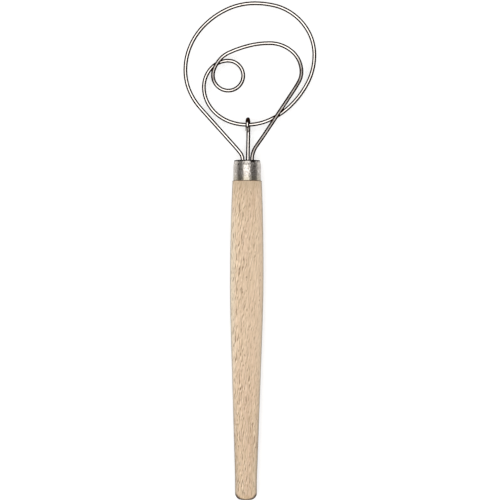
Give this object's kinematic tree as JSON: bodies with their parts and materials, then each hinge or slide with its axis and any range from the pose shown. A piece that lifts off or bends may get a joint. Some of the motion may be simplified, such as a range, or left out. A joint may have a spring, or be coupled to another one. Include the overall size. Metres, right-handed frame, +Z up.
{
  "type": "dough whisk",
  "caption": "Wooden-handled dough whisk with a steel ferrule and a flat head of looped wire for mixing stiff dough.",
  "frame": {"origin": "on the table under the middle of the whisk's box; the whisk lies level on its handle's belly", "axes": "+X across the head to the right, +Y along the handle towards the head, +Z up, square to the head's flat"},
  "size_m": [0.0914, 0.3429, 0.023],
  "materials": {
    "beech": "bare sanded beech with fine flecks along the grain",
    "ferrule_steel": "stainless steel, mottled satin",
    "wire_steel": "polished stainless steel wire, dark at its rims",
    "resin": "cast resin, slightly amber"
  },
  "bodies": {
    "root": {"handle": "beech", "ferrule": "ferrule_steel", "resin_plug": "resin", "whisk_wire": "wire_steel", "hook_wire": "wire_steel"}
  },
  "joints": []
}
